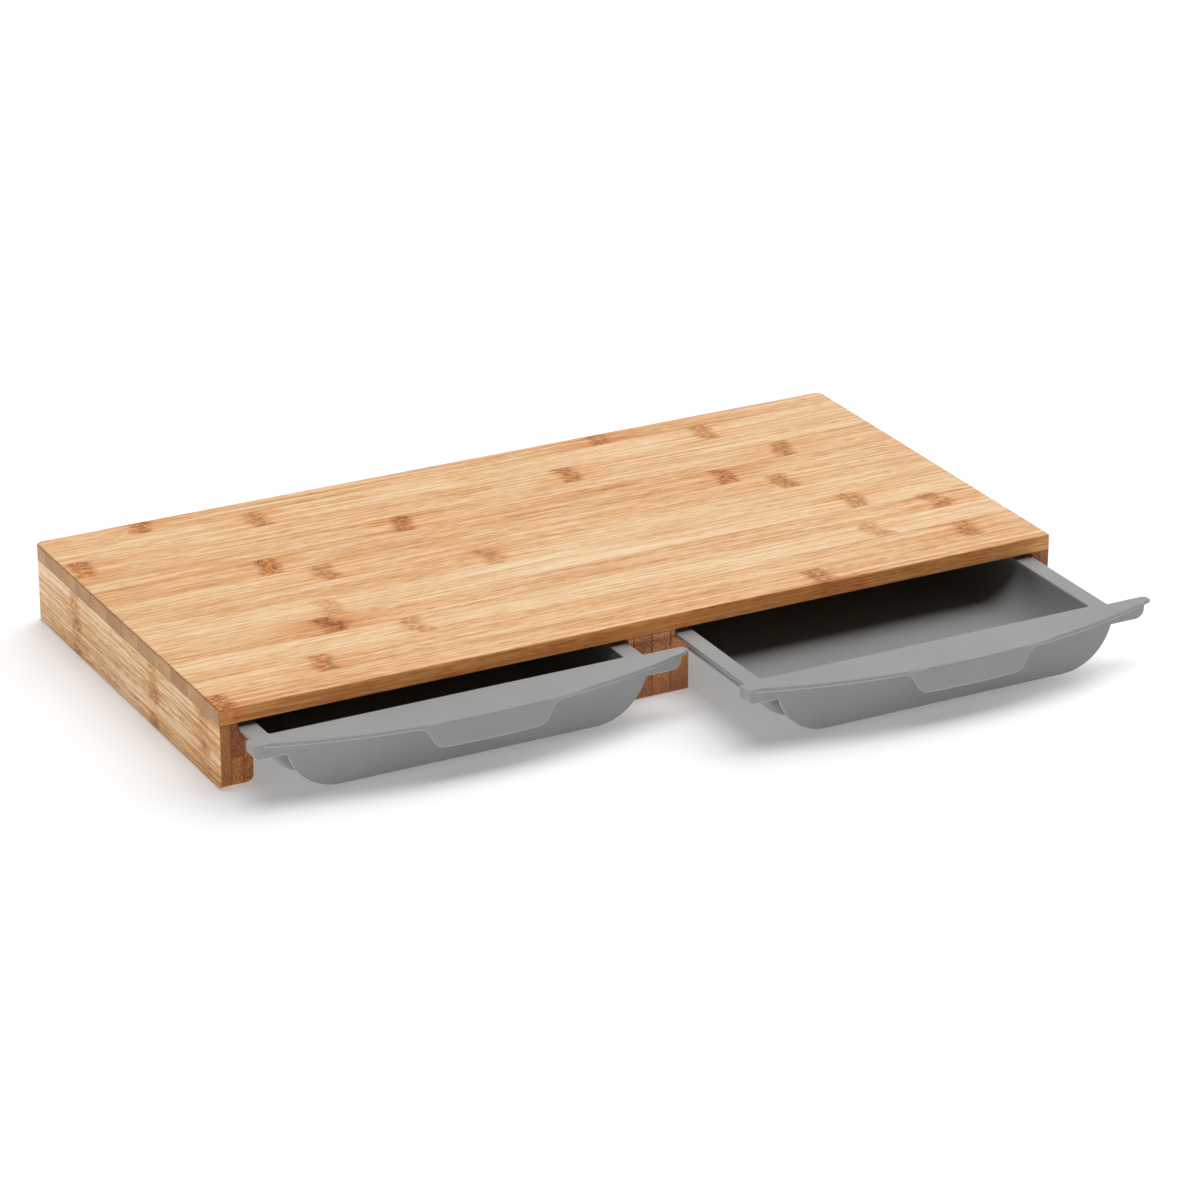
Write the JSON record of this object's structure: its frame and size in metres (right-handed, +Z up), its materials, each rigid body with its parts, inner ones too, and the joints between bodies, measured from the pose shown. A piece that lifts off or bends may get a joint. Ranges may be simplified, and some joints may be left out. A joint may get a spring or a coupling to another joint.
{
  "type": "cutting board with drawer trays",
  "caption": "bamboo cutting board on side and centre rails, with two grey moulded trays that slide out at the front on ledges, each with a bowed handle and finger tab",
  "frame": {"origin": "on the table, at the middle of the underside of the centre rail", "axes": "+X along the board, to the right of someone facing the trays; +Y to the back, away from the trays; +Z up"},
  "size_m": [0.5546, 0.3796, 0.049],
  "materials": {
    "bamboo_top": "satin, lightly oiled bamboo strips",
    "bamboo_rail": "satin bamboo lamellas",
    "bamboo_dark": "satin, darker carbonised bamboo lamellas",
    "grey_plastic": "fine matte grey moulded plastic"
  },
  "bodies": {
    "board": {"top_strip_01": "bamboo_top", "top_strip_02": "bamboo_top", "top_strip_03": "bamboo_top", "top_strip_04": "bamboo_top", "top_strip_05": "bamboo_top", "top_strip_06": "bamboo_top", "top_strip_07": "bamboo_top", "top_strip_08": "bamboo_top", "top_strip_09": "bamboo_top", "top_strip_10": "bamboo_top", "top_strip_11": "bamboo_top", "top_strip_12": "bamboo_top", "left_rail_outer": "bamboo_rail", "left_rail_lower_core": "bamboo_rail", "left_rail_upper_core": "bamboo_rail", "left_rail_runner": "bamboo_rail", "right_rail_outer": "bamboo_rail", "right_rail_lower_core": "bamboo_rail", "right_rail_upper_core": "bamboo_rail", "right_rail_runner": "bamboo_rail", "centre_rail_lamella_1": "bamboo_dark", "centre_rail_lamella_2": "bamboo_dark", "centre_rail_lamella_3": "bamboo_dark", "centre_rail_lamella_4": "bamboo_dark", "back_rail_left": "bamboo_rail", "back_rail_right": "bamboo_rail"},
    "left_tray": {"left_tray": "grey_plastic"},
    "right_tray": {"right_tray": "grey_plastic"}
  },
  "joints": [
    {"name": "left_tray_slide", "type": "slide", "parent": "board", "child": "left_tray", "axis": [0, -1, 0], "range_m": [-0.0174, 0.236]},
    {"name": "right_tray_slide", "type": "slide", "parent": "board", "child": "right_tray", "axis": [0, -1, 0], "range_m": [-0.0794, 0.174]}
  ]
}
